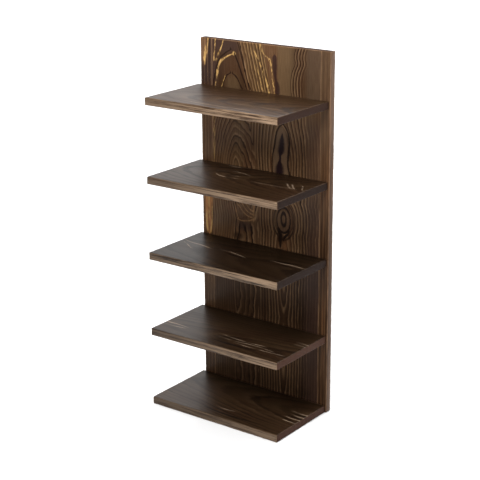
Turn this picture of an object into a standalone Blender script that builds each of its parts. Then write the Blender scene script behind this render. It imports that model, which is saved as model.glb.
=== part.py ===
"""Eyeglass display rack: an upright back board with five shelves on its front, each for one pair.

The back board is glued up from three staves. Every shelf butts against its front face and is held
by two countersunk wood screws, driven from behind through the board into the shelf's rear edge.
Sizes are in metres. The origin is on the table under the middle of the rack: +X is to the right of
someone facing the rack, the shelves reach forward along -Y, and +Z is up.
"""

import math

import bmesh
import bpy

# Back board
BOARD_WIDTH = 0.160
BOARD_HEIGHT = 0.380
STOCK_THICKNESS = 0.008
LEFT_STAVE_WIDTH = 0.0145
RIGHT_STAVE_WIDTH = 0.0108

# Shelves, which sit a little to the left of the board's middle
SHELF_LENGTH = 0.161
SHELF_DEPTH = 0.0875
SHELF_OVERHANG = 0.0027
SHELF_TOPS = {
    "top_shelf": 0.3314,
    "second_shelf": 0.2502,
    "middle_shelf": 0.1696,
    "fourth_shelf": 0.0861,
    "base_shelf": STOCK_THICKNESS,
}

# Finish of the boards
EASED_EDGE = 0.0006
EASED_EDGE_SEGMENTS = 2

# Wood screws, 2.8 x 25 mm with a countersunk head
SCREW_LENGTH = 0.025
SCREW_RADIUS = 0.0014
SCREW_POINT_LENGTH = 0.0045
SCREW_HEAD_RADIUS = 0.0027
SCREW_RIM = 0.0002
SCREW_SINK = 0.0002
SCREW_SPACING = 0.090
RECESS_SPAN = 0.0030
RECESS_WIDTH = 0.0007
RECESS_DEPTH = 0.0012
TURNED_STEPS = 24

# Clearance between pieces that touch
FIT_GAP = 0.0003

# Where the pieces lie
LEFT = -(BOARD_WIDTH + SHELF_OVERHANG) / 2
BOARD_LEFT = LEFT + SHELF_OVERHANG
BOARD_RIGHT = BOARD_LEFT + BOARD_WIDTH
BOARD_MIDDLE = (BOARD_LEFT + BOARD_RIGHT) / 2
BACK = (SHELF_DEPTH + STOCK_THICKNESS) / 2
BOARD_FRONT = BACK - STOCK_THICKNESS
SHELF_FRONT = BOARD_FRONT - SHELF_DEPTH


def clear_scene():
    for obj in list(bpy.data.objects):
        bpy.data.objects.remove(obj, do_unlink=True)


def new_collection(name):
    collection = bpy.data.collections.new(name)
    bpy.context.scene.collection.children.link(collection)
    return collection


def new_material(name, colour, roughness, metallic=0.0):
    material = bpy.data.materials.new(name)
    material.use_nodes = True
    surface = material.node_tree.nodes["Principled BSDF"]
    surface.inputs["Base Color"].default_value = (*colour, 1.0)
    surface.inputs["Roughness"].default_value = roughness
    surface.inputs["Metallic"].default_value = metallic
    return material


def new_object(name, mesh, collection, location=(0.0, 0.0, 0.0)):
    obj = bpy.data.objects.new(name, mesh)
    obj.location = location
    collection.objects.link(obj)
    return obj


def add_board(name, low, high, collection, material, glued_sides=()):
    """A planed board from corner low to corner high, its edges eased except on its glued sides.

    glued_sides lists the ends that meet a neighbour: -1 for the left one and 1 for the right one.
    """
    size = [upper - lower for lower, upper in zip(low, high)]
    centre = [(upper + lower) / 2 for lower, upper in zip(low, high)]
    bm = bmesh.new()
    bmesh.ops.create_cube(bm, size=1.0)
    bmesh.ops.scale(bm, vec=size, verts=bm.verts)
    glued = [side * size[0] / 2 for side in glued_sides]
    eased = [
        edge for edge in bm.edges
        if not any(all(abs(v.co.x - x) < FIT_GAP for v in edge.verts) for x in glued)
    ]
    bmesh.ops.bevel(
        bm, geom=eased, offset=EASED_EDGE, offset_type="OFFSET", affect="EDGES",
        segments=EASED_EDGE_SEGMENTS, profile=0.5, material=-1,
    )
    mesh = bpy.data.meshes.new(name)
    bm.to_mesh(mesh)
    bm.free()
    mesh.materials.append(material)
    return new_object(name, mesh, collection, centre)


def add_turned(name, profile, collection):
    """A piece turned about its own Z axis from (radius, height) points, listed top to bottom."""
    bm = bmesh.new()
    points = [bm.verts.new((radius, 0.0, height)) for radius, height in profile]
    for upper, lower in zip(points, points[1:]):
        bm.edges.new((upper, lower))
    mesh = bpy.data.meshes.new(name)
    bm.to_mesh(mesh)
    bm.free()
    obj = new_object(name, mesh, collection)
    turn = obj.modifiers.new("turn", "SCREW")
    turn.steps = TURNED_STEPS
    turn.render_steps = TURNED_STEPS
    turn.use_merge_vertices = True
    turn.merge_threshold = 0.00001
    return obj


def hide_cutter(obj):
    obj.hide_render = True
    obj.display_type = "WIRE"


def cut(obj, cutter):
    boolean = obj.modifiers.new(f"cut {cutter.name}", "BOOLEAN")
    boolean.operation = "DIFFERENCE"
    boolean.solver = "EXACT"
    boolean.object = cutter


def screw_mesh(collection, cutters, material):
    """The mesh that every screw shares: its head's top is at the origin and its point is down -Z."""
    neck = -SCREW_RIM - (SCREW_HEAD_RADIUS - SCREW_RADIUS)
    pattern = add_turned("pattern_screw", [
        (0.0, 0.0),
        (SCREW_HEAD_RADIUS, 0.0),
        (SCREW_HEAD_RADIUS, -SCREW_RIM),
        (SCREW_RADIUS, neck),
        (SCREW_RADIUS, SCREW_POINT_LENGTH - SCREW_LENGTH),
        (0.0, -SCREW_LENGTH),
    ], collection)
    for number, size in enumerate(((RECESS_SPAN, RECESS_WIDTH), (RECESS_WIDTH, RECESS_SPAN))):
        bm = bmesh.new()
        bmesh.ops.create_cube(bm, size=1.0)
        bmesh.ops.scale(bm, vec=(*size, RECESS_DEPTH * 2), verts=bm.verts)
        blade = bpy.data.meshes.new(f"recess_blade_{number}")
        bm.to_mesh(blade)
        bm.free()
        cutter = new_object(f"recess_cutter_{number}", blade, cutters)
        hide_cutter(cutter)
        cut(pattern, cutter)
    bpy.context.view_layer.update()
    finished = pattern.evaluated_get(bpy.context.evaluated_depsgraph_get())
    mesh = bpy.data.meshes.new_from_object(finished)
    mesh.name = "wood_screw"
    mesh.materials.clear()
    mesh.materials.append(material)
    mesh.shade_smooth()
    mesh.set_sharp_from_angle(angle=math.radians(30))
    bpy.data.objects.remove(pattern, do_unlink=True)
    return mesh


def screw_hole(name, location, cutters):
    """A drilled and countersunk hole, open at the board's back, for one screw and its clearance."""
    radius = SCREW_RADIUS + FIT_GAP
    mouth = SCREW_HEAD_RADIUS + FIT_GAP
    depth = SCREW_LENGTH + 2 * FIT_GAP
    cutter = add_turned(name, [
        (0.0, SCREW_HEAD_RADIUS),
        (mouth, SCREW_HEAD_RADIUS),
        (mouth, -SCREW_RIM),
        (radius, -SCREW_RIM - (mouth - radius)),
        (radius, -depth),
        (0.0, -depth - radius / 2),
    ], cutters)
    place_screw(cutter, location)
    hide_cutter(cutter)
    return cutter


def place_screw(obj, location):
    """Turn a screw or its hole so that it points forward from the back of the board."""
    obj.location = location
    obj.rotation_euler = (-math.pi / 2, 0.0, 0.0)


def main():
    clear_scene()
    rack = new_collection("eyeglass_display_rack")
    cutters = new_collection("cutters")
    stained_wood = new_material("stained_wood", (0.085, 0.052, 0.034), 0.42)
    stained_shelf = new_material("stained_shelf", (0.100, 0.068, 0.050), 0.30)
    zinc = new_material("zinc_plated_steel", (0.62, 0.60, 0.55), 0.35, 1.0)

    left_joint = BOARD_LEFT + LEFT_STAVE_WIDTH
    right_joint = BOARD_RIGHT - RIGHT_STAVE_WIDTH
    half_gap = FIT_GAP / 2
    add_board(
        "back_board_left_stave",
        (BOARD_LEFT, BOARD_FRONT, 0.0), (left_joint - half_gap, BACK, BOARD_HEIGHT),
        rack, stained_wood, glued_sides=(1,),
    )
    centre_stave = add_board(
        "back_board_centre_stave",
        (left_joint + half_gap, BOARD_FRONT, 0.0), (right_joint - half_gap, BACK, BOARD_HEIGHT),
        rack, stained_wood, glued_sides=(-1, 1),
    )
    add_board(
        "back_board_right_stave",
        (right_joint + half_gap, BOARD_FRONT, 0.0), (BOARD_RIGHT, BACK, BOARD_HEIGHT),
        rack, stained_wood, glued_sides=(-1,),
    )

    screw = screw_mesh(rack, cutters, zinc)
    for shelf_name, top in SHELF_TOPS.items():
        shelf = add_board(
            shelf_name,
            (LEFT, SHELF_FRONT, top - STOCK_THICKNESS),
            (LEFT + SHELF_LENGTH, BOARD_FRONT - FIT_GAP, top),
            rack, stained_shelf,
        )
        for side_name, side in (("left", -1), ("right", 1)):
            location = (
                BOARD_MIDDLE + side * SCREW_SPACING / 2,
                BACK - SCREW_SINK,
                top - STOCK_THICKNESS / 2,
            )
            place_screw(new_object(f"{shelf_name}_screw_{side_name}", screw, rack), location)
            hole = screw_hole(f"hole_for_{shelf_name}_screw_{side_name}", location, cutters)
            cut(centre_stave, hole)
            cut(shelf, hole)


main()
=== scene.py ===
import math

import bmesh
import bpy
from mathutils import Matrix, Vector, noise


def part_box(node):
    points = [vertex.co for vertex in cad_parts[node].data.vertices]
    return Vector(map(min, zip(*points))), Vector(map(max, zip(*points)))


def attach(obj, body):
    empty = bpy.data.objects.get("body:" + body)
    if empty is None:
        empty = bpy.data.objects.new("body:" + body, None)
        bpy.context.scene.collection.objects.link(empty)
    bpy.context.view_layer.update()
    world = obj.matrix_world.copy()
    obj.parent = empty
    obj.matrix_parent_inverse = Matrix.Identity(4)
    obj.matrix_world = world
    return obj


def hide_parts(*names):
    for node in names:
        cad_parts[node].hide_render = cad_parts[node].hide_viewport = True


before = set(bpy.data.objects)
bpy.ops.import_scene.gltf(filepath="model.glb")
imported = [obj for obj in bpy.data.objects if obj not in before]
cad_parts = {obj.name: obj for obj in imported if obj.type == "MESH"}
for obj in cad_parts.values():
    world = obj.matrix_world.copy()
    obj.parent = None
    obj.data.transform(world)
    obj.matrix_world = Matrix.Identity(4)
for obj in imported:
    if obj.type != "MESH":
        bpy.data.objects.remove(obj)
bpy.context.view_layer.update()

MM = 0.001
BODY = "root"

STAVES = ("back_board_left_stave", "back_board_centre_stave", "back_board_right_stave")
SHELVES = ("top_shelf", "second_shelf", "middle_shelf", "fourth_shelf", "base_shelf")
SCREWS = [f"{shelf}_screw_{side}" for shelf in SHELVES for side in ("left", "right")]

LEFT_STAVE, CENTRE_STAVE, RIGHT_STAVE = (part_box(name) for name in STAVES)
BOARD_LEFT = LEFT_STAVE[0].x
BOARD_FRONT = CENTRE_STAVE[0].y

TIGHT_JOINT = 0.02 * MM
EASED_EDGE = 0.7 * MM
EASED_EDGE_SEGMENTS = 3
GRID = 3.0 * MM
DENT_DEPTH = 0.16 * MM
DENT_SPACING = 5.0 * MM


# Shader values -------------------------------------------------------------------------------

SEED_STRIDES = (7.31, 3.17, 5.53)


class Signal:
    """A node socket that adds the Math node for whatever sum it is used in."""

    def __init__(self, recipe, socket):
        self.recipe = recipe
        self.socket = socket

    def math(self, operation, *others, clamp=False):
        settings = {"operation": operation, "use_clamp": clamp}
        return self.recipe.add("ShaderNodeMath", settings, dict(enumerate((self, *others))))

    def __add__(self, other):
        return self.math("ADD", other)

    def __sub__(self, other):
        return self.math("SUBTRACT", other)

    def __mul__(self, other):
        return self.math("MULTIPLY", other)

    def __truediv__(self, other):
        return self.math("DIVIDE", other)

    def __rsub__(self, other):
        return self.recipe.add("ShaderNodeMath", {"operation": "SUBTRACT"}, {0: other, 1: self})

    __radd__ = __add__
    __rmul__ = __mul__

    def clamp(self):
        return self.math("ADD", 0.0, clamp=True)

    def at_least(self, other):
        return self.math("MAXIMUM", other)

    def at_most(self, other):
        return self.math("MINIMUM", other)

    def away_from(self, value):
        return (self - value).math("ABSOLUTE")

    def step(self, start, end):
        """A soft step from 0 at start to 1 at end, whichever of the two is greater."""
        return self.recipe.add(
            "ShaderNodeMapRange",
            {"interpolation_type": "SMOOTHSTEP"},
            {"Value": self, "From Min": start, "From Max": end},
        )


def bend(mapping, points):
    """Lead a Float Curve through points, level beyond the first and the last."""
    mapping.extend = "HORIZONTAL"
    curve = mapping.curves[0]
    for place, height in points[2:]:
        curve.points.new(place, height)
    for knot, point in zip(curve.points, points):
        knot.location = point
    mapping.update()


class Recipe:
    """A material and the node tree that mixes it."""

    def __init__(self, name):
        self.material = bpy.data.materials.new(name)
        self.material.use_nodes = True
        self.tree = self.material.node_tree
        self.tree.nodes.clear()

    def add(self, kind, settings=None, values=None, output=0):
        node = self.tree.nodes.new(kind)
        for key, value in (settings or {}).items():
            if key == "points":
                bend(node.mapping, value)
            else:
                setattr(node, key, value)
        for key, value in (values or {}).items():
            if isinstance(value, Signal):
                self.tree.links.new(value.socket, node.inputs[key])
            else:
                node.inputs[key].default_value = value
        return Signal(self, node.outputs[output])

    def place(self, corner):
        """Position in millimetres from a corner of the board."""
        metres = self.add("ShaderNodeTexCoord", output="Object")
        return self.add(
            "ShaderNodeMapping", {"vector_type": "POINT"},
            {"Vector": metres, "Location": -corner / MM, "Scale": (1 / MM,) * 3},
        )

    def axes(self, vector):
        split = self.add("ShaderNodeSeparateXYZ", None, {0: vector}).socket.node
        return [Signal(self, split.outputs[axis]) for axis in "XYZ"]

    def noise(self, place, size, seed, detail=2.0, roughness=0.5):
        """Cloudy values around zero, whose clouds are size millimetres long along each axis."""
        cloud = self.add(
            "ShaderNodeMapping", {"vector_type": "POINT"},
            {
                "Vector": place,
                "Location": tuple(seed * stride for stride in SEED_STRIDES),
                "Scale": tuple(1 / length for length in size),
            },
        )
        value = self.add(
            "ShaderNodeTexNoise", {"noise_dimensions": "3D"},
            {"Vector": cloud, "Scale": 1.0, "Detail": detail, "Roughness": roughness},
        )
        return value - 0.5

    def curve(self, value, points):
        """A smooth curve through (value, height) points, all between 0 and 1."""
        return self.add("ShaderNodeFloatCurve", {"points": points}, {"Value": value})

    def mix(self, factor, below, above):
        settings = {"data_type": "RGBA", "clamp_factor": True}
        node = self.add("ShaderNodeMix", settings, {"Factor": factor}).socket.node
        for socket, colour in zip(("A_Color", "B_Color"), (below, above)):
            target = next(s for s in node.inputs if s.identifier == socket)
            if isinstance(colour, Signal):
                self.tree.links.new(colour.socket, target)
            else:
                target.default_value = (*colour, 1.0)
        return Signal(self, next(s for s in node.outputs if s.identifier == "Result_Color"))

    def finish(self, **inputs):
        shader = self.add(
            "ShaderNodeBsdfPrincipled", None,
            {name.replace("_", " "): value for name, value in inputs.items()},
        )
        output = self.tree.nodes.new("ShaderNodeOutputMaterial")
        self.tree.links.new(shader.socket, output.inputs["Surface"])
        return self.material


# Wood ------------------------------------------------------------------------------------------

BROWN = (0.094, 0.050, 0.022)
RED_BROWN = (0.078, 0.032, 0.014)
MAUVE = (0.056, 0.030, 0.023)
OLIVE = (0.140, 0.086, 0.042)
# Dark grain lines; the same near-black is also laid over the lower bays of the back board as painted
# shade
DARK_LINE_AND_SHADE = (0.012, 0.005, 0.0025)
PALE_LINE = (0.205, 0.120, 0.062)
GOLDEN = (0.640, 0.380, 0.130)
HONEY = (0.450, 0.200, 0.068)
CHESTNUT = (0.190, 0.085, 0.036)
KNOT_BLACK = (0.013, 0.005, 0.009)
END_GRAIN = (0.034, 0.014, 0.008)
RIGHT_BROWN = (0.088, 0.056, 0.034)
SAWN_TAN = (0.215, 0.125, 0.078)
EDGE_BROWN = (0.240, 0.160, 0.100)
ARRIS_TAN = (0.330, 0.190, 0.100)
SLANT_BROWN = (0.112, 0.062, 0.025)
EYE_TAN = (0.205, 0.125, 0.072)
BOWL_TAN = (0.380, 0.200, 0.085)
WARM_BROWN = (0.200, 0.105, 0.050)
# Painted highlight: the colour of the pale glints of the varnish drawn on the shelf tops
GLINT = (0.330, 0.235, 0.160)

# The longest course and the widest half width that a curve can hold, and how far past a streak's
# end its width is held at zero, in millimetres
SPAN = 400.0
WIDEST = 10.0
CURVE_END = 8.0

WORN_WIDTH = 1.1
EDGE_FADE = 150.0
GRAIN_RELIEF = 0.12 * MM

# Low, so that the varnish stays satin; the back board shines less than the shelves
BOARD_IOR = 1.17
SHELF_IOR = 1.25


def spot(across, along, centre, half_size, softness=0.5):
    """1 inside an oval patch and 0 outside it."""
    u = (across - centre[0]) / half_size[0]
    v = (along - centre[1]) / half_size[1]
    reach = (u * u + v * v).math("SQRT")
    return reach.step(1 + softness, 1 - softness)


def oval_line(across, along, centre, half_size, thickness):
    """1 on the rim of an oval; the thickness is a share of its half size."""
    u = (across - centre[0]) / half_size[0]
    v = (along - centre[1]) / half_size[1]
    off = (u * u + v * v).math("SQRT").away_from(1.0)
    return off.step(thickness * 1.3, thickness * 0.5)


def together(masks):
    total = masks[0]
    for mask in masks[1:]:
        total = total.math("MAXIMUM", mask)
    return total


def streaks_of_grain(recipe, along, across, courses, taper=2.5):
    """1 on streaks that follow the grain, 0 beside them.

    A course lists (along, across, half width) points in millimetres, in order along the grain.
    """
    run = along / SPAN
    side = across / SPAN
    masks = []
    for course in courses:
        first, last = course[0], course[-1]
        path = recipe.curve(run, [(a / SPAN, b / SPAN) for a, b, _ in course])
        widths = [((first[0] - taper - rest) / SPAN, 0.0) for rest in (CURVE_END, 0.0)]
        widths += [(a / SPAN, half / WIDEST) for a, _, half in course]
        widths += [((last[0] + taper + rest) / SPAN, 0.0) for rest in (0.0, CURVE_END)]
        half = recipe.curve(run, widths).at_least(0.0002)
        off = (side - path).math("ABSOLUTE") / half
        masks.append(off.step(1.5 * WIDEST / SPAN, 0.5 * WIDEST / SPAN))
    return together(masks)


def arris_mask(recipe, place, size, width):
    """1 along the arrises of a box-shaped board and 0 on its faces, in millimetres."""
    near = []
    for axis, length in zip(recipe.axes(place), size):
        to_side = axis.at_most(length - axis)
        near.append(to_side.step(width, 0.0))
    return (near[0] + near[1] + near[2] - 1.0).clamp()


def ring_lines(recipe, rings, seed=0.0):
    """The dark line that ends each ring and the pale one after it, some stronger than others."""
    part = rings.math("FRACT")
    year = rings.math("FLOOR") + seed
    vigour = recipe.add("ShaderNodeTexWhiteNoise", {"noise_dimensions": "1D"}, {"W": year})
    dark = part.step(0.62, 0.76) * part.step(1.0, 0.94) * (vigour * 0.8 + 0.4)
    pale = part.step(0.44, 0.14) * part.step(0.0, 0.06) * (1.2 - vigour * 0.8)
    return dark, pale


def stained_wood(name, low, high, figure, grain_axis, seed, tone, ior, end_tone=1.0):
    """Softwood under a dark walnut stain and satin varnish.

    figure(recipe, place, x, y, z) gives the dark and pale lines, the ground tints (on the back board
    also painted shade) and the tinted patches (on the shelves also painted glints), from millimetres
    measured from the board's low corner. The lower the tone, the deeper the stain, and the end tone
    does the same for the end grain. On the shelves under the top one the lower tone is partly painted
    shade.
    """
    recipe = Recipe(name)
    place = recipe.place(low)
    x, y, z = recipe.axes(place)
    size = (high - low) / MM
    look = figure(recipe, place, x, y, z)

    along = {"x": 0, "z": 2}[grain_axis]

    def grain_size(width, length):
        return [length if axis == along else width for axis in range(3)]

    fibres = recipe.noise(place, grain_size(0.34, 14.0), seed + 1, detail=3.0, roughness=0.65)
    streaks = recipe.noise(place, grain_size(1.3, 60.0), seed + 2, detail=2.0, roughness=0.6)
    clouds = recipe.noise(place, grain_size(20.0, 55.0), seed + 3, detail=2.0)

    def toned(colour):
        return tuple(part * tone for part in colour)

    dark = look["dark"] * (clouds * 1.2 + streaks * 1.2 + 1.0).clamp()
    pale = look["pale"] * (streaks * 2.0 - clouds * 1.2 + 0.8).clamp()
    colour = recipe.mix((clouds * 2.0 + 0.4).clamp(), toned(BROWN), toned(RED_BROWN))
    colour = recipe.mix((streaks * 2.2 + 0.15).clamp() * 0.55, colour, toned(PALE_LINE))
    # Ground tints, and on the back board the painted shade that darkens its lower bays
    for mask, tint in look.get("grounds_and_shade", []):
        colour = recipe.mix(mask, colour, tint)
    colour = recipe.mix(pale, colour, toned(PALE_LINE))
    for mask, tint in look["patches"]:
        colour = recipe.mix(mask, colour, tint)
    colour = recipe.mix(dark, colour, toned(DARK_LINE_AND_SHADE))
    colour = recipe.mix((0.42 - fibres * 2.6).clamp() * 0.55, colour, toned(DARK_LINE_AND_SHADE))

    edge = look.get("edge")
    if edge:
        edge_streaks = (streaks * 4.6 + fibres * 3.2 + 0.64).clamp()
        # The front edge's colour runs from its tone at the left end to its tone at the right end
        front_edge_brown = recipe.mix(x.step(0.0, EDGE_FADE), *look["edge_colours"])
        colour = recipe.mix(edge * edge_streaks, colour, front_edge_brown)
    end_axis = (x, y, z)[along]
    end_grain = end_axis.at_most(size[along] - end_axis).step(0.30, 0.02)
    sawn_end = tuple(part * end_tone for part in END_GRAIN)
    colour = recipe.mix(end_grain * (0.95 + streaks * 0.8).clamp(), colour, sawn_end)
    worn = arris_mask(recipe, place, size, WORN_WIDTH) * (clouds * 3.0 + fibres * 2.0 + 0.4).clamp()
    colour = recipe.mix(worn * 0.5, colour, toned(ARRIS_TAN))

    relief = fibres * 0.35 - dark * 0.5 + streaks * 0.3
    bump = recipe.add(
        "ShaderNodeBump", None, {"Strength": 0.35, "Distance": GRAIN_RELIEF, "Height": relief},
    )
    rough = (0.35 + fibres * 0.16 + clouds * 0.20 + dark * 0.10 + end_grain * 0.40).clamp()
    return recipe.finish(Base_Color=colour, Roughness=rough, IOR=ior, Normal=bump)


# The back board's figure, in millimetres across from its left edge and up from its foot. A course
# lists points in order along its run, with a half width at each.

LEFT_GLUE_LINE = (CENTRE_STAVE[0].x - BOARD_LEFT) / MM
RIGHT_STAVE_WIDTH = (RIGHT_STAVE[1].x - RIGHT_STAVE[0].x) / MM

# Single strokes reach this deep from the face, and the top bay's figure begins between these heights
SKIN = 5.0
TOP_BAY = (318.0, 331.0)

# Width of one ring: round the arches and eyes, in the slanting and the wavy lines of the top bay,
# and on the two outer staves
RING_SPACING = 3.5
SLANT_SPACING = 3.7
WAVE_SPACING = 3.3
LEFT_SPACING = 4.2
RIGHT_SPACING = 3.6

ARCH_OUTLINE = [
    [
        (330, 18.6, 0.5), (340, 20.4, 0.6), (347, 21.8, 1.4), (354, 24.0, 1.0), (359, 27.6, 1.8),
        (363, 34.0, 1.5), (367, 42.6, 1.0),
    ],
    [(358, 20.4, 1.0), (366, 24.0, 1.1), (373, 27.4, 0.7), (381, 30.4, 0.4)],
    [(359, 17.4, 0.5), (368, 18.4, 0.5), (381, 19.6, 0.4)],
    [(331, 26.6, 0.4), (337, 29.4, 0.6), (342, 31.6, 0.5)],
    [(330, 86.8, 1.0), (340, 84.8, 1.0), (352, 79.6, 0.8), (360, 75.6, 0.8), (372, 68.4, 0.5)],
    [(366, 87.4, 1.4), (367.5, 84.4, 1.3), (371, 79.6, 1.0), (380, 76.0, 0.7)],
    [(331, 93.2, 0.3), (350, 90.4, 0.5), (363, 88.6, 0.6)],
    [(331, 79.6, 0.4), (344, 75.8, 0.5), (356, 71.4, 0.4)],
]
ARCH_SHADOWS = [
    [(330, 60.0, 0.7), (345, 54.3, 0.9), (356, 49.3, 1.0), (367, 43.8, 0.8)],
    [(330, 15.9, 0.6), (346, 19.0, 0.8), (358, 23.4, 0.9), (366, 31.5, 1.2), (370.5, 39.0, 1.3)],
    [(330, 28.6, 0.5), (340, 31.4, 0.7), (345, 35.0, 1.1), (347.3, 40.0, 1.0)],
    [(330, 54.6, 0.7), (339, 50.0, 0.8), (345, 45.0, 1.1), (347.3, 40.5, 1.0)],
    [(330, 65.0, 0.5), (346, 58.6, 0.7), (363, 53.6, 0.7), (381, 47.4, 0.6)],
]
FLAME_OUTLINE = [
    [
        (246, 91.6, 0.8), (265, 91.0, 0.9), (278, 93.6, 0.9), (290, 95.4, 1.0), (297, 98.6, 1.2),
        (301, 103.0, 1.4),
    ],
    [
        (246, 113.0, 1.1), (262, 110.2, 1.1), (276, 111.6, 1.3), (288, 111.6, 1.2), (297, 108.0, 1.2),
        (301, 103.4, 1.4),
    ],
]
EYE_FOOT = [
    [(172, 100.8, 1.0), (177, 101.0, 1.9), (182, 101.2, 3.2), (187, 100.4, 2.6), (192, 98.0, 1.1)],
    [(180, 104.6, 1.7), (184, 107.6, 1.9), (187, 110.2, 1.4), (191, 112.0, 0.8)],
]
KNOTS = [
    [
        (331, 96.8, 2.6), (339, 96.6, 3.0), (345, 95.0, 1.6), (352, 93.8, 2.0), (361, 93.6, 3.0),
        (369, 93.4, 2.6),
    ],
    [(246, 99.4, 5.0), (254, 99.8, 4.8), (261, 100.2, 2.6), (266, 100.6, 1.2), (271, 100.9, 1.2)],
    [(270, 101.2, 1.4), (276, 102.2, 3.6), (281, 102.6, 3.4), (286, 102.8, 2.4), (291, 102.8, 0.8)],
    [(142, 101.0, 0.8), (149, 102.6, 2.2), (156, 103.4, 1.0)],
]
EYE_RINGS = [
    ((105.0, 202.0), (2.9, 6.8), 0.36, 1.0),
    ((105.2, 201.0), (8.3, 13.6), 0.11, 1.0),
    ((105.4, 200.0), (12.4, 20.0), 0.07, 0.8),
]
BOWL_SIDE = [
    [(194, 47.2, 0.5), (199, 45.2, 0.6), (208, 43.2, 0.4)],
    [(195, 67.2, 0.7), (203, 67.9, 1.0), (213, 68.3, 0.9)],
]
BOWL_ARCS = [
    [(47.0, 192.6, 0.5), (52.0, 191.6, 0.7), (60.0, 193.0, 0.7), (67.5, 195.8, 0.9)],
    [(48.0, 209.0, 0.6), (53.0, 202.6, 0.8), (60.0, 198.4, 0.7), (67.5, 197.8, 0.9)],
    [(52.0, 212.0, 0.6), (57.0, 205.6, 0.8), (62.0, 202.2, 0.7), (67.5, 201.2, 1.0)],
    [(58.0, 212.0, 0.6), (62.0, 207.2, 0.8), (67.5, 205.0, 1.0)],
]
GLUE_LINE_GLOW = [[(246, 15.6, 0.7), (262, 15.9, 1.0), (285, 16.2, 1.2), (304, 16.4, 0.8)]]

# A line of arches and a chain of eyes: the height of each one's heart, and how fast its rings close
# above and below it
ARCH_MIDDLE = 44.0
ARCH_HEARTS = [(250.0, 0.42), (220.0, 0.34), (112.0, 0.12), (20.0, 0.14)]
ARCH_LEFT_SLOPE = 1.15
ARCH_RIGHT_SLOPE = 0.62
PEAKED = 1.5
EYE_MIDDLE = 105.4
EYE_HEARTS = [(263.0, 0.32), (201.0, 0.62), (134.0, 0.16), (40.0, 0.12)]
EYE_LEAN = 0.038
EYE_START = 15.0
WAVY_COURSE = [
    (330.0, 114.6), (346.0, 113.4), (355.0, 115.0), (365.0, 118.6), (370.0, 117.6), (381.0, 120.4),
]

# Oval patches: centre, half size, softness and strength
FLAME_INSIDE = ((101.6, 262.0), (9.5, 38.0), 0.12, 1.0)
EYE_INSIDE = ((105.2, 199.0), (7.6, 13.0), 0.15, 1.0)
BOWL_INSIDE = ((56.0, 200.0), (13.0, 14.0), 0.2, 1.0)
ARCH_TIP = ((43.2, 367.0), (2.0, 2.0), 0.4, 1.0)
ARCH_FOOT = ((42.0, 335.0), (9.0, 11.0), 0.5, 0.5)
# A dark spot low on the left of the centre stave
DARK_SPOT = ((47.0, 174.0), (6.0, 4.0), 0.5, 0.7)
RED_PATCHES = [
    ((41.0, 352.0), (13.0, 15.0), 0.4, 0.14),
    ((90.0, 257.0), (2.6, 14.0), 0.5, 0.8),
    ((107.6, 177.0), (4.4, 7.0), 0.4, 0.9),
]
MAUVE_PATCHES = [
    ((32.0, 375.0), (18.0, 8.0), 0.5, 0.7),
    ((56.0, 186.0), (10.0, 5.0), 0.5, 0.7),
]


def patch(across, up, shape):
    centre, half_size, softness, strength = shape
    return spot(across, up, centre, half_size, softness) * strength


def height_from(up, hearts):
    """How far up or down the nearest of the hearts is, each scaled by its own slope."""
    nearest = up.away_from(hearts[0][0]) * hearts[0][1]
    for height, slope in hearts[1:]:
        nearest = nearest.at_most(up.away_from(height) * slope)
    return nearest


def arch_and_eye_rings(recipe, place, across, up, y, ripple):
    """Rings round a line of peaked arches on the left and a chain of eyes on the right.

    The arches spread more to the right than to the left and step sideways on their way down. Of
    the eyes, the highest is a tall flame, the next short and round, and the others long and thin.
    """
    wobble = recipe.noise(place, (9.0, 20.0, 13.0), 17.0, detail=1.0)
    arch_out = across - ARCH_MIDDLE - up.step(246.0, 226.0) * 7.0 + up.step(180.0, 130.0) * 6.0
    right_of_arch = (arch_out + wobble * 3.5).at_least(0.0)
    arch_out = right_of_arch * ARCH_RIGHT_SLOPE - arch_out.at_most(0.0) * ARCH_LEFT_SLOPE
    arch_rise = (height_from(up, ARCH_HEARTS) + wobble * 3.0).at_least(0.0)
    arches = arch_out.math("POWER", PEAKED) + arch_rise.math("POWER", PEAKED) + 1.0
    arches = arches.math("POWER", 1 / PEAKED)

    eye_out = across - EYE_MIDDLE + (up - 200.0).at_least(0.0) * EYE_LEAN
    eye_rise = height_from(up, EYE_HEARTS).math("SMOOTH_MIN", 14.0, 3.0)
    eyes = (eye_out * eye_out + eye_rise * eye_rise + 1.0).math("SQRT")

    lobes = arches.at_most(eyes - EYE_START)
    return ring_lines(recipe, (lobes + y * 0.35) / RING_SPACING + ripple * 0.35)


def where_rings_show(across, up, top_bay, low, inside_eyes, skin):
    """1 where the rings are strong, 0 in the top bay and inside the eyes, and between elsewhere."""
    plain = (across.step(126.0, 138.0) * 0.80 + inside_eyes).clamp()
    bowl = patch(across, up, BOWL_INSIDE) * skin
    calm = across.step(46.0, 36.0) * up.step(240.0, 226.0)
    faint_arches = across.step(72.0, 60.0) * up.step(244.0, 252.0)
    shown = (1 - top_bay) * (1 - plain) * (1 - low * 0.35) * (1 - bowl * 0.8) * (1 - calm * 0.55)
    return shown * (1 - faint_arches * 0.30)


def top_bay_lines(recipe, across, up, leaning, ripple):
    """Masks of the dark and pale slanting lines, and of the wavy ones to the right of them."""
    slant_dark, slant_pale = ring_lines(recipe, leaning / SLANT_SPACING + ripple * 0.35, 3.0)
    slanting = leaning.step(59.0, 62.0) * leaning.step(91.0, 87.0)
    wavy_path = recipe.curve(up / SPAN, [(a / SPAN, b / SPAN) for a, b in WAVY_COURSE])
    wavy = across - wavy_path * SPAN
    wavy_dark, wavy_pale = ring_lines(recipe, wavy / WAVE_SPACING + 0.9, 5.0)
    waves = wavy.step(-1.4, -0.6) * wavy.step(16.0, 9.0)
    return slant_dark * slanting, slant_pale * slanting, wavy_dark * waves, wavy_pale * waves


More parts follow.
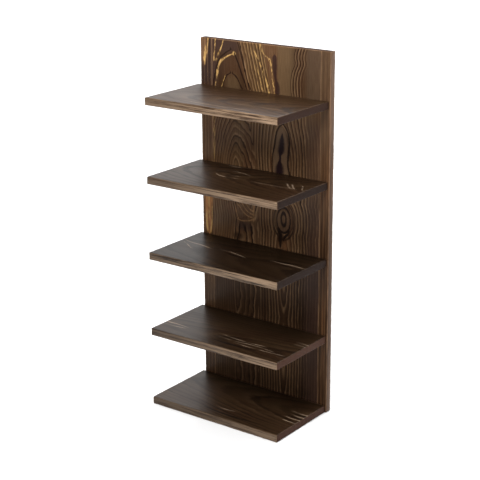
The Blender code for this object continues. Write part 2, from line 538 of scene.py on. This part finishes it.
def stain_and_painted_shade(across, up, leaning, top_bay):
    """How much darker each part is: painted shade in the lower bays, a deeper stain in the top bay."""
    return [
        # Painted shade: darker towards the foot, over the lower bays
        up.step(176.0, 130.0) * 0.66,
        # Painted shade: darker on the right, below the second shelf
        across.step(116.0, 134.0) * up.step(244.0, 200.0) * 0.62,
        # Deeper stain in the top bay
        top_bay * across.step(104.0, 114.0) * 0.36,
        top_bay * across.step(110.0, 116.0) * across.step(142.0, 130.0) * 0.34,
        top_bay * leaning.step(62.0, 56.0) * 0.66,
        # Painted shade: darker on the right of the bay above the fourth shelf
        up.step(176.0, 162.0) * up.step(84.0, 104.0) * across.step(106.0, 120.0) * 0.55,
    ]


def centre_stave_figure(recipe, place, x, y, z):
    """Nested arches up the left side, a chain of eyes up the right one, and lines between them."""
    sway = recipe.noise(place, (26.0, 40.0, 50.0), 4.0, detail=2.0)
    ripple = recipe.noise(place, (4.0, 20.0, 14.0), 9.0, detail=2.0)
    jog = recipe.noise(place, (2.4, 20.0, 3.4), 12.0, detail=3.0) * 2.4
    glow = recipe.noise(place, (2.4, 20.0, 6.0), 14.0, detail=3.0)
    across = x + LEFT_GLUE_LINE + sway * 3.0 + ripple * 1.3
    up = z + sway * 5.0
    leaning = across + (up - 333.0) * 0.25
    wavering = across + jog * 0.6
    top_bay = up.step(*TOP_BAY)
    low = up.step(165.0, 150.0)
    skin = y.step(SKIN, SKIN * 0.3)
    inside_eyes = together([patch(across, up, inside) for inside in (FLAME_INSIDE, EYE_INSIDE)]) * skin

    ring_dark, ring_pale = arch_and_eye_rings(recipe, place, across, up, y, ripple)
    shown = where_rings_show(across, up, top_bay, low, inside_eyes, skin)
    slant_dark, slant_pale, wavy_dark, wavy_pale = top_bay_lines(recipe, across, up, leaning, ripple)
    grain_dark = ring_dark * shown + (slant_dark * 0.9 + wavy_dark) * top_bay
    upright = across.step(62.0, 72.0) * 0.9 + 1.1
    ring_pale = ring_pale * shown * upright * (1 - low * 0.45)
    grain_pale = ring_pale + (slant_pale * 0.8 + wavy_pale) * top_bay

    strokes = [streaks_of_grain(recipe, up, wavering, ARCH_SHADOWS + FLAME_OUTLINE + EYE_FOOT)]
    for centre, half_size, thickness, strength in EYE_RINGS:
        strokes.append(oval_line(wavering, up, centre, half_size, thickness) * strength)
    golden = together([
        streaks_of_grain(recipe, up, across + jog, ARCH_OUTLINE),
        streaks_of_grain(recipe, up, across, GLUE_LINE_GLOW) * 0.50,
        patch(across, up, ARCH_TIP),
        slant_pale * top_bay * leaning.step(58.0, 84.0) * 0.6,
    ])
    knots = streaks_of_grain(recipe, up, wavering, KNOTS)
    bowl_lines = together([
        streaks_of_grain(recipe, up, wavering, BOWL_SIDE),
        streaks_of_grain(recipe, across, up + jog * 0.6, BOWL_ARCS),
    ])

    red = together([patch(across, up, shape) for shape in RED_PATCHES])
    mauve = together([
        *(patch(across, up, shape) for shape in MAUVE_PATCHES),
        top_bay * across.step(24.0, 17.0) * 0.7,
        across.step(124.0, 136.0) * up.step(318.0, 300.0) * 0.5,
    ])
    olive = across.step(95.0, 99.0) * across.step(124.0, 110.0) * top_bay
    slant = top_bay * leaning.step(58.0, 66.0) * leaning.step(93.0, 86.0)
    return {
        "dark": together([grain_dark, together(strokes) * skin, patch(across, up, DARK_SPOT)]),
        "pale": grain_pale.clamp(),
        "grounds_and_shade": [
            # Painted shade over the lower bays, and deeper stain in the top bay
            *((mask, DARK_LINE_AND_SHADE) for mask in stain_and_painted_shade(across, up, leaning, top_bay)),
            (mauve, MAUVE),
            (red, CHESTNUT),
            (olive * 0.7, OLIVE),
            (patch(across, up, ARCH_FOOT), OLIVE),
            (top_bay * across.step(128.0, 136.0) * 0.7, RIGHT_BROWN),
            (slant * 0.6, SLANT_BROWN),
            (inside_eyes * (0.35 + up.step(222.0, 234.0) * 0.40), EYE_TAN),
        ],
        "patches": [
            (bowl_lines * skin * (glow * 2.4 + 0.75).clamp(), BOWL_TAN),
            (golden * skin * (glow * 4.2 + 0.62).clamp(), GOLDEN),
            (knots * skin * (0.96 - top_bay * 0.22), KNOT_BLACK),
        ],
    }


LEFT_WEDGE = [
    [(353, 5.6, 0.4), (358, 5.4, 1.3), (364, 5.8, 1.7), (371, 6.6, 0.9)],
    [(364, 8.2, 0.5), (373, 9.2, 0.7), (381, 9.8, 0.7)],
]
LEFT_LENS = [
    [
        (171, 8.6, 2.6), (178, 7.9, 4.3), (195, 7.8, 5.3), (211, 8.2, 5.7), (226, 8.2, 5.2),
        (236, 8.2, 2.0),
    ],
]
LENS_STREAKS = [
    [(173, 10.2, 0.8), (182, 11.6, 0.8), (200, 12.4, 0.6)],
    [(173, 6.6, 0.6), (182, 5.0, 1.1), (194, 5.2, 0.6)],
    [(188, 8.6, 0.4), (200, 8.0, 0.8), (214, 8.6, 0.4)],
]
LENS_EDGES = [
    [(168, 11.4, 0.5), (180, 13.0, 0.6), (200, 13.9, 0.7), (222, 14.2, 0.6)],
    [(172, 4.6, 0.3), (184, 2.6, 0.5), (210, 1.6, 0.5)],
]
WARM_TOP = ((4.0, 372.0), (5.0, 18.0), 0.4, 0.8)


def left_stave_figure(recipe, place, x, y, z):
    """Plain upright grain with a golden wedge at the top and a long golden lens lower down."""
    sway = recipe.noise(place, (20.0, 40.0, 60.0), 31.0)
    jog = recipe.noise(place, (2.4, 20.0, 5.0), 33.0, detail=3.0)
    across = x + sway * 2.0 + jog * 1.4
    skin = y.step(SKIN, SKIN * 0.3)
    wedge, lens, streaks, edges = (
        streaks_of_grain(recipe, z, across, courses) * skin
        for courses in (LEFT_WEDGE, LEFT_LENS, LENS_STREAKS, LENS_EDGES)
    )
    warm_top = patch(x, z, WARM_TOP) * skin
    high = z.step(318.0, 340.0)
    dark, pale = ring_lines(recipe, (across + y * 0.4) / LEFT_SPACING, 2.0)
    return {
        "dark": together([dark * 0.30, edges * 0.8]),
        "pale": pale * 0.3,
        "grounds_and_shade": [
            # Painted shade: darker towards the foot, below the middle shelf
            (z.step(170.0, 60.0) * 0.50, DARK_LINE_AND_SHADE),
            (high, MAUVE),
            (high * 0.45, DARK_LINE_AND_SHADE),
            (warm_top, WARM_BROWN),
        ],
        "patches": [
            (wedge * (jog * 3.0 + 0.6).clamp(), GOLDEN),
            (lens * (sway + jog + 0.9).clamp(), HONEY),
            (streaks * (jog * 3.0 + 0.7).clamp(), GOLDEN),
        ],
    }


def right_stave_figure(recipe, place, x, y, z):
    """Upright grain with warm streaks towards the foot, and a paler sawn side."""
    sway = recipe.noise(place, (20.0, 40.0, 70.0), 41.0)
    across = x + sway * 4.0
    warm = recipe.noise(place, (3.0, 10.0, 60.0), 44.0)
    side = x.step(RIGHT_STAVE_WIDTH - 0.5, RIGHT_STAVE_WIDTH - 0.1)
    dark, pale = ring_lines(recipe, (across - y * 0.3) / RIGHT_SPACING, 6.0)
    upper = z.step(250.0, 325.0)
    quiet = 1 - upper * 0.7
    return {
        "dark": dark * quiet * 0.45,
        "pale": pale * quiet * 0.4,
        "grounds_and_shade": [
            # Painted shade: darker below the second shelf, over the lower bays
            (z.step(246.0, 190.0) * 0.72, DARK_LINE_AND_SHADE),
            (upper * 0.45, RIGHT_BROWN),
        ],
        "patches": [
            ((warm * 3.0 + z.step(260.0, 120.0) * 0.20).clamp() * quiet * 0.40, CHESTNUT),
            (side * (z.step(250.0, 330.0) * 0.5 + 0.45), SAWN_TAN),
        ],
    }


def shelf_figure(pith, lean, spacing, seed, edge_tones, glint_courses, dark_courses):
    """Long grain cut from around a pith line that lies pith millimetres from the low corner.

    lean is how far that line moves in depth and height for each millimetre along the shelf. The
    edge tones are how light the front edge is at its two ends, and the courses list (along, depth,
    half width) points of the painted glints (pale highlights of the varnish) and of the dark streaks
    on its top.
    """
    def figure(recipe, place, x, y, z):
        sway = recipe.noise(place, (70.0, 26.0, 26.0), seed)
        ripple = recipe.noise(place, (18.0, 4.0, 4.0), seed + 2.0)
        depth = y - pith[0] - x * lean[0] + sway * 9.0
        height = z - pith[1] - x * lean[1]
        rings = (depth * depth + height * height).math("SQRT") / spacing + ripple * 0.5
        dark, pale = ring_lines(recipe, rings, seed)
        wavering = y + sway * 3.0 + ripple * 0.8
        glints = streaks_of_grain(recipe, x, wavering, glint_courses, 4.0)
        shadows = streaks_of_grain(recipe, x, wavering, dark_courses, 4.0)
        strength = (0.55 + sway * 1.4).clamp()
        return {
            "dark": together([dark * strength, shadows * 0.95]),
            "pale": pale * strength * 0.75,
            "edge": y.step(0.75, 0.25),
            "edge_colours": [tuple(part * tone for part in EDGE_BROWN) for tone in edge_tones],
            # Painted highlights: pale glints of the varnish drawn along the grain of the top
            "patches": [(glints * (ripple * 3.5 + 0.60).clamp(), GLINT)],
        }

    return figure


ZINC = (0.62, 0.60, 0.54)
PASSIVATED_ZINC = (0.50, 0.46, 0.36)
ZINC_RELIEF = 0.02 * MM


def zinc_plate():
    """Bright zinc with a faint warm passivated tint and fine scuffs."""
    recipe = Recipe("zinc_plated_steel")
    place = recipe.place(Vector((0.0, 0.0, 0.0)))
    bloom = recipe.noise(place, (1.6, 1.6, 1.6), 61.0, detail=3.0)
    scuffs = recipe.noise(place, (0.22, 0.22, 0.22), 63.0, detail=2.0)
    colour = recipe.mix((bloom * 2.0 + 0.5).clamp(), ZINC, PASSIVATED_ZINC)
    bump = recipe.add(
        "ShaderNodeBump", None, {"Strength": 0.2, "Distance": ZINC_RELIEF, "Height": scuffs},
    )
    return recipe.finish(
        Base_Color=colour, Metallic=1.0, Roughness=(0.30 + bloom * 0.3 + scuffs * 0.1).clamp(),
        Normal=bump,
    )


# Shapes ----------------------------------------------------------------------------------------


def finish_piece(name, bm, material, nodes):
    """Turn a bmesh into a piece that stands for CAD nodes and moves with the rack."""
    mesh = bpy.data.meshes.new(name)
    bm.to_mesh(mesh)
    bm.free()
    mesh.materials.append(material)
    mesh.shade_smooth()
    mesh.set_sharp_from_angle(angle=math.radians(40))
    piece = bpy.data.objects.new(name, mesh)
    bpy.context.scene.collection.objects.link(piece)
    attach(piece, BODY)
    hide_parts(*nodes)
    return piece


def runs_along(edge, axis):
    way = edge.verts[0].co - edge.verts[1].co
    return abs(way[axis]) > 0.99 * way.length


def board_mesh(low, high, glued_sides=()):
    """A planed board with eased, slightly dented arrises, as a grid fine enough to be shaped."""
    size = high - low
    middle = (high + low) / 2
    bm = bmesh.new()
    bmesh.ops.create_cube(bm, size=1.0)
    bmesh.ops.scale(bm, vec=size, verts=bm.verts)
    bmesh.ops.translate(bm, vec=middle, verts=bm.verts)
    glued = [low.x if side < 0 else high.x for side in glued_sides]
    for axis in range(3):
        cuts = max(1, round(size[axis] / GRID) - 1)
        edges = [edge for edge in bm.edges if runs_along(edge, axis)]
        bmesh.ops.subdivide_edges(bm, edges=edges, cuts=cuts, use_grid_fill=True)
    arrises = [
        edge for edge in bm.edges
        if edge.calc_face_angle(0.0) > 1.0
        and not any(all(abs(v.co.x - x) < TIGHT_JOINT for v in edge.verts) for x in glued)
    ]
    bmesh.ops.bevel(
        bm, geom=arrises, offset=EASED_EDGE, offset_type="OFFSET", affect="EDGES",
        segments=EASED_EDGE_SEGMENTS, profile=0.5, material=-1,
    )
    dent_arrises(bm, low, high, glued)
    return bm


def dent_arrises(bm, low, high, glued):
    """Press the arrises in a little here and there, as sanding and handling leave them."""
    middle = (low + high) / 2
    for vert in bm.verts:
        to_side = [min(vert.co[i] - low[i], high[i] - vert.co[i]) for i in range(3)]
        if any(abs(vert.co.x - x) < TIGHT_JOINT for x in glued):
            continue
        second = sorted(to_side)[1]
        if second > EASED_EDGE:
            continue
        bite = max(0.0, noise.noise(vert.co / DENT_SPACING) + 0.15) * DENT_DEPTH
        for i in range(3):
            if to_side[i] < EASED_EDGE * 1.01:
                vert.co[i] += math.copysign(bite, middle[i] - vert.co[i])


def make_boards():
    left_low, left_high = LEFT_STAVE
    right_low, right_high = RIGHT_STAVE
    centre_low, centre_high = CENTRE_STAVE
    left_top = Vector((centre_low.x - TIGHT_JOINT, left_high.y, left_high.z))
    right_foot = Vector((centre_high.x + TIGHT_JOINT, right_low.y, right_low.z))
    boards = (
        (STAVES[0], left_low, left_top, (1,), left_stave_figure, 3.0, 1.25),
        (STAVES[1], centre_low, centre_high, (-1, 1), centre_stave_figure, 5.0, 1.35),
        (STAVES[2], right_foot, right_high, (-1,), right_stave_figure, 8.0, 1.0),
    )
    for name, low, high, glued, figure, seed, tone in boards:
        wood = stained_wood(f"{name}_wood", low, high, figure, "z", seed, tone, BOARD_IOR)
        bm = board_mesh(low, high, glued)
        if name == STAVES[1]:
            bm = drill(bm, SCREWS)
        finish_piece(f"{name}_planed", bm, wood, [name])


# For each shelf: its pith line and how that leans, the spacing and seed of its rings, the tones of
# its stain and of its end grain, and how light its front edge is at the left and at the right. The
# stain tones of the four shelves under the top one are set lower, partly as painted shade of the bays.
SHELF_CUTS = {
    "top_shelf": ((30.0, -60.0), (0.05, 0.10), 3.6, 71.0, 0.52, 1.0, (0.50, 1.12)),
    "second_shelf": ((52.0, -46.0), (0.00, 0.16), 4.4, 73.0, 0.38, 0.5, (0.31, 0.78)),
    "middle_shelf": ((40.0, -70.0), (-0.04, 0.07), 4.0, 79.0, 0.18, 0.5, (0.40, 0.78)),
    "fourth_shelf": ((20.0, -40.0), (0.03, 0.05), 3.2, 83.0, 0.30, 1.7, (0.24, 0.68)),
    "base_shelf": ((64.0, -50.0), (-0.03, 0.09), 3.6, 89.0, 0.34, 1.5, (0.24, 0.52)),
}
# Painted glints: pale streaks on each shelf top that stand for highlights of the varnish, as (along,
# depth, half width) points in millimetres
PAINTED_GLINTS = {
    "top_shelf": [
        [(70, 30.0, 0.2), (110, 27.0, 0.4), (150, 29.0, 0.2)],
        [(30, 12.0, 0.2), (80, 9.0, 0.35), (120, 10.0, 0.2)],
    ],
    "second_shelf": [
        [(46, 60.0, 0.3), (55, 66.0, 0.6), (70, 67.0, 0.6), (84, 62.0, 0.3)],
        [
            (48, 52.0, 0.3), (58, 46.4, 0.8), (74, 45.6, 0.8), (88, 46.4, 0.5), (112, 44.6, 0.5),
            (146, 46.0, 0.3),
        ],
        [(56, 55.0, 0.2), (68, 52.6, 0.5), (80, 55.0, 0.2)],
        [(131, 60.0, 0.5), (136, 54.0, 1.3), (143, 47.0, 0.7)],
        [(137, 60.0, 0.5), (142, 54.0, 1.4), (148, 47.0, 0.7)],
        [(149, 61.0, 0.5), (153.5, 54.0, 1.2), (157, 47.0, 0.5)],
        [(38, 84.0, 0.3), (52, 83.0, 1.1), (66, 85.0, 0.4)],
    ],
    "middle_shelf": [
        [(4, 56.0, 0.4), (16, 52.0, 0.9), (30, 50.6, 0.7), (44, 47.0, 0.4)],
        [(56, 50.0, 0.2), (68, 49.0, 0.5), (80, 46.6, 0.5), (88, 44.0, 0.2)],
        [(120, 51.0, 0.3), (130, 50.4, 0.6), (146, 50.6, 0.8), (158, 49.0, 0.5)],
        [(6, 50.0, 0.3), (18, 43.0, 0.5), (26, 37.0, 0.3)],
    ],
    "fourth_shelf": [
        [(0, 25.0, 0.8), (14, 25.6, 0.8), (30, 24.4, 0.3)],
        [(0, 20.0, 0.9), (14, 19.4, 0.9), (28, 20.6, 0.3)],
        [(74, 30.0, 0.3), (92, 27.6, 0.5), (118, 27.0, 0.5), (136, 28.4, 0.3)],
        [(70, 24.0, 0.3), (90, 22.0, 0.5), (112, 23.4, 0.5), (140, 21.0, 0.3)],
        [(96, 18.0, 0.3), (120, 17.0, 0.5), (154, 18.6, 0.4)],
        [(148, 56.0, 0.5), (160, 55.0, 0.9)],
        [(150, 50.0, 0.6), (160, 49.4, 0.9)],
    ],
    "base_shelf": [
        [(143, 57.0, 0.5), (152, 55.6, 1.0), (161, 56.0, 1.0)],
        [(145, 50.0, 0.5), (152, 48.6, 1.0), (161, 49.0, 1.0)],
        [(144, 42.0, 0.4), (152, 41.0, 0.8), (161, 41.6, 0.8)],
        [(146, 34.6, 0.4), (153, 34.0, 0.7), (161, 34.0, 0.7)],
        [(72, 21.0, 0.3), (80, 20.0, 0.7), (92, 21.0, 0.3)],
    ],
}
DARK_STREAKS = {
    "top_shelf": [
        [(60, 46.0, 0.4), (90, 43.0, 0.8), (130, 45.0, 0.4)],
        [(96, 36.0, 0.3), (126, 33.6, 0.8), (158, 36.0, 0.5)],
    ],
    "second_shelf": [
        [(46, 56.0, 0.4), (54, 60.0, 1.1), (68, 58.6, 1.2), (84, 60.6, 0.5)],
        [(84, 50.0, 0.3), (104, 49.0, 0.9), (136, 50.0, 0.5)],
    ],
    "middle_shelf": [
        [(124, 54.6, 0.5), (134, 54.0, 1.1), (146, 54.6, 0.4)],
        [(134, 46.0, 0.4), (144, 45.0, 1.0), (156, 46.0, 0.4)],
        [(70, 43.0, 0.6), (82, 41.6, 1.6), (92, 42.0, 0.5)],
    ],
    "fourth_shelf": [
        [(70, 14.0, 0.6), (96, 12.0, 1.4), (124, 13.0, 0.6)],
        [(80, 25.4, 0.3), (104, 25.0, 0.6), (132, 24.6, 0.3)],
    ],
    "base_shelf": [
        [(142, 53.0, 0.4), (152, 52.0, 1.0), (161, 52.4, 1.0)],
        [(142, 45.6, 0.4), (152, 44.8, 1.0), (161, 45.0, 1.0)],
        [(60, 12.0, 0.4), (90, 10.0, 1.0), (130, 11.0, 0.5)],
    ],
}


def make_shelves():
    for name in SHELVES:
        low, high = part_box(name)
        high = Vector((high.x, BOARD_FRONT - TIGHT_JOINT, high.z))
        pith, lean, spacing, seed, tone, end_tone, edge_tones = SHELF_CUTS[name]
        figure = shelf_figure(
            pith, lean, spacing, seed, edge_tones, PAINTED_GLINTS[name], DARK_STREAKS[name],
        )
        wood = stained_wood(
            f"{name}_wood", low, high, figure, "x", seed, tone, SHELF_IOR, end_tone,
        )
        bm = drill(board_mesh(low, high), [f"{name}_screw_{side}" for side in ("left", "right")])
        finish_piece(f"{name}_planed", bm, wood, [name])


# Screws ----------------------------------------------------------------------------------------

SCREW_RIM = 0.2 * MM
THREAD_PITCH = 1.1 * MM
THREAD_START = 8.5 * MM
POINT_LENGTH = 4.5 * MM
RIDGE_FOOT = 0.32 * MM
RIDGE_CREST = 0.03 * MM
RIDGE_SINK = 0.85
THREAD_RUNOUT = 0.45
TURN_STEPS = 40
THREAD_SIDES = 16
SHANK_SHARE = 0.50
HOLE_SHARE = 0.52
ROOT_SHARE = 0.36
HOLE_EASE = 0.05 * MM
CUTTER_REACH = 3.0 * MM
TURN_BETWEEN_SCREWS = 0.7

# Two crossed blades cut the recess. They stand as far out of the head as they reach into it, and
# their thickness is a share of their width.
RECESS_DEPTH = 1.5 * MM
BLADE_TIP = 0.55 * MM
BLADE_TOP = 2.05 * MM
BLADE_THICKNESS = 0.28


def screw_place(node):
    """The top centre of a screw's head, its head radius and its length."""
    low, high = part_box(node)
    middle = (low + high) / 2
    return Vector((middle.x, high.y, middle.z)), (high.x - low.x) / 2, high.y - low.y


def turned(bm, profile):
    """Turn (radius, depth) points once round the local Z axis and close the seam."""
    points = [bm.verts.new((radius, 0.0, -depth)) for radius, depth in profile]
    edges = [bm.edges.new(pair) for pair in zip(points, points[1:])]
    bmesh.ops.spin(
        bm, geom=points + edges, cent=(0, 0, 0), axis=(0, 0, 1), dvec=(0, 0, 0),
        angle=2 * math.pi, steps=TURN_STEPS, use_merge=True, use_duplicate=False,
    )
    bmesh.ops.remove_doubles(bm, verts=bm.verts, dist=0.001 * MM)
    bmesh.ops.recalc_face_normals(bm, faces=bm.faces)


def turn_about_z(bm, angle):
    bmesh.ops.rotate(bm, cent=(0, 0, 0), matrix=Matrix.Rotation(angle, 3, "Z"), verts=bm.verts)


def set_in_board(bm, place):
    """Turn a screw or its hole to point forward, and put it in its place in the back board."""
    bmesh.ops.transform(
        bm, matrix=Matrix.Translation(place) @ Matrix.Rotation(-math.pi / 2, 4, "X"), verts=bm.verts,
    )


def cut_away(bm, cutters):
    """Subtract closed meshes from bm with exact Booleans, and return the result."""
    body = bpy.data.objects.new("body", bpy.data.meshes.new("body"))
    bpy.context.scene.collection.objects.link(body)
    bm.to_mesh(body.data)
    bm.free()
    tools = []
    for number, cutter in enumerate(cutters):
        tool = bpy.data.objects.new(f"tool_{number}", bpy.data.meshes.new(f"tool_{number}"))
        bpy.context.scene.collection.objects.link(tool)
        cutter.to_mesh(tool.data)
        cutter.free()
        tools.append(tool)
        boolean = body.modifiers.new("cut", "BOOLEAN")
        boolean.operation = "DIFFERENCE"
        boolean.solver = "EXACT"
        boolean.object = tool
    bpy.context.view_layer.update()
    finished = body.evaluated_get(bpy.context.evaluated_depsgraph_get())
    result = bmesh.new()
    result.from_mesh(finished.to_mesh())
    for obj in (body, *tools):
        bpy.data.objects.remove(obj, do_unlink=True)
    return result


def drill(bm, screws):
    """Drill and countersink a board for its screws, a hair larger than they are."""
    holes = []
    for node in screws:
        place, head_radius, length = screw_place(node)
        shank = head_radius * HOLE_SHARE + HOLE_EASE
        mouth = head_radius + HOLE_EASE
        hole = bmesh.new()
        turned(hole, [
            (0.0, -CUTTER_REACH),
            (mouth, -CUTTER_REACH),
            (mouth, SCREW_RIM),
            (shank, SCREW_RIM + mouth - shank),
            (shank, length + HOLE_EASE),
            (0.0, length + shank),
        ])
        set_in_board(hole, place)
        holes.append(hole)
    return cut_away(bm, holes)


def screw_mesh(head_radius, length):
    """A cross-recess wood screw with a rolled thread, its head's top at the origin."""
    shank = head_radius * SHANK_SHARE
    root = head_radius * ROOT_SHARE
    neck = SCREW_RIM + head_radius - shank
    bm = bmesh.new()
    turned(bm, [
        (0.0, 0.0),
        (head_radius - 0.12 * MM, 0.0),
        (head_radius, 0.08 * MM),
        (head_radius, SCREW_RIM),
        (shank + 0.15 * MM, neck - 0.12 * MM),
        (shank, neck + 0.25 * MM),
        (shank, THREAD_START - 0.6 * MM),
        (root, THREAD_START),
        (root, length - POINT_LENGTH),
        (root * 0.55, length - POINT_LENGTH * 0.4),
        (0.0, length),
    ])
    blades = []
    for turn in (0.0, math.pi / 2):
        blade = bmesh.new()
        bmesh.ops.create_cone(
            blade, cap_ends=True, segments=4, radius1=BLADE_TIP, radius2=BLADE_TOP,
            depth=2 * RECESS_DEPTH,
        )
        turn_about_z(blade, math.pi / 4)
        bmesh.ops.scale(blade, vec=(1.0, BLADE_THICKNESS, 1.0), verts=blade.verts)
        turn_about_z(blade, turn)
        blades.append(blade)
    bm = cut_away(bm, blades)
    add_thread(bm, root, shank, length - POINT_LENGTH * THREAD_RUNOUT)
    return bm


def add_thread(bm, root, crest, end):
    """Wind a ridge round the root as a helix that ends near the point."""
    turns = math.floor((end - THREAD_START) / THREAD_PITCH)
    sink = root * RIDGE_SINK
    ridge = [(sink, -RIDGE_FOOT), (crest, -RIDGE_CREST), (crest, RIDGE_CREST), (sink, RIDGE_FOOT)]
    points = [bm.verts.new((radius, 0.0, -THREAD_START - depth)) for radius, depth in ridge]
    start = bm.faces.new(points)
    wound = bmesh.ops.spin(
        bm, geom=[start], cent=(0, 0, 0), axis=(0, 0, 1), dvec=(0, 0, -THREAD_PITCH / THREAD_SIDES),
        angle=2 * math.pi * turns, steps=THREAD_SIDES * turns, use_merge=False, use_duplicate=False,
    )
    last = [item for item in wound["geom_last"] if isinstance(item, bmesh.types.BMVert)]
    last_centre = sum((v.co for v in last), Vector()) / len(last)
    bmesh.ops.scale(
        bm, vec=(0.6, 0.6, 0.6), space=Matrix.Translation(-last_centre), verts=last,
    )
    bmesh.ops.recalc_face_normals(bm, faces=bm.faces)


def make_screws():
    plate = zinc_plate()
    for number, node in enumerate(SCREWS):
        place, head_radius, length = screw_place(node)
        bm = screw_mesh(head_radius, length)
        turn_about_z(bm, TURN_BETWEEN_SCREWS * number)
        set_in_board(bm, place)
        finish_piece(f"{node}_threaded", bm, plate, [node])


# Studio ----------------------------------------------------------------------------------------


FLOOR_SIZE = 20.0
FLOOR_DROP = 0.2 * MM
ROOM_STRENGTH = 0.36
WALL_STRENGTH = 1.00
WALL_WAY = (-0.57, 0.77, 0.28)
CAMERA_PLACE = (0.7712, -1.0341, 0.5999)
CAMERA_YAW = math.radians(36.71)
CAMERA_PITCH_DOWN = math.radians(17.81)
CAMERA_ROLL = math.radians(-0.41)
CAMERA_LENS = 99.9
CAMERA_SENSOR = 36.0


def make_floor():
    recipe = Recipe("pale_floor")
    material = recipe.finish(Base_Color=(0.90, 0.90, 0.90, 1.0), Roughness=0.9)
    bm = bmesh.new()
    bmesh.ops.create_grid(bm, x_segments=1, y_segments=1, size=FLOOR_SIZE)
    bmesh.ops.translate(bm, vec=(0.0, 0.0, -FLOOR_DROP), verts=bm.verts)
    mesh = bpy.data.meshes.new("floor")
    bm.to_mesh(mesh)
    bm.free()
    mesh.materials.append(material)
    floor = bpy.data.objects.new("floor", mesh)
    bpy.context.scene.collection.objects.link(floor)


def add_softbox(name, place, aim, size, watts):
    light = bpy.data.lights.new(name, "AREA")
    light.shape = "RECTANGLE"
    light.size, light.size_y = size
    light.energy = watts
    lamp = bpy.data.objects.new(name, light)
    lamp.location = place
    lamp.rotation_mode = "QUATERNION"
    lamp.rotation_quaternion = (Vector(aim) - Vector(place)).to_track_quat("-Z", "Y")
    bpy.context.scene.collection.objects.link(lamp)


def light_studio():
    """A dim room with a bright wall behind on the left, and softboxes in front and far behind."""
    scene = bpy.context.scene
    scene.view_settings.view_transform = "Standard"
    world = bpy.data.worlds.new("studio_room")
    world.use_nodes = True
    tree = world.node_tree
    background = tree.nodes["Background"]
    background.inputs["Color"].default_value = (1.0, 1.0, 1.0, 1.0)
    way = tree.nodes.new("ShaderNodeTexCoord")
    behind = tree.nodes.new("ShaderNodeVectorMath")
    behind.operation = "DOT_PRODUCT"
    behind.inputs[1].default_value = WALL_WAY
    strength = tree.nodes.new("ShaderNodeMapRange")
    strength.interpolation_type = "SMOOTHSTEP"
    levels = {"From Min": 0.2, "From Max": 0.95, "To Min": ROOM_STRENGTH, "To Max": WALL_STRENGTH}
    for socket, value in levels.items():
        strength.inputs[socket].default_value = value
    tree.links.new(way.outputs["Generated"], behind.inputs[0])
    tree.links.new(behind.outputs["Value"], strength.inputs["Value"])
    tree.links.new(strength.outputs["Result"], background.inputs["Strength"])
    scene.world = world
    add_softbox("front_softbox", (0.22, -1.15, 1.35), (0.0, 0.0, 0.2), (0.8, 0.8), 34.0)
    add_softbox("floor_softbox", (-0.9, 3.2, 3.2), (-0.9, 3.1, 0.0), (4.4, 4.4), 280.0)


def place_camera():
    """A long lens in front of the rack, above it and to its right."""
    camera = bpy.data.cameras.new("camera")
    camera.lens = CAMERA_LENS
    camera.sensor_width = CAMERA_SENSOR
    camera.clip_start = 0.05
    camera.clip_end = 60.0
    stand = bpy.data.objects.new("camera", camera)
    stand.matrix_world = (
        Matrix.Translation(CAMERA_PLACE)
        @ Matrix.Rotation(CAMERA_YAW, 4, "Z")
        @ Matrix.Rotation(math.pi / 2 - CAMERA_PITCH_DOWN, 4, "X")
        @ Matrix.Rotation(CAMERA_ROLL, 4, "Z")
    )
    bpy.context.scene.collection.objects.link(stand)
    bpy.context.scene.camera = stand


place_camera()
make_boards()
make_shelves()
make_screws()
make_floor()
light_studio()
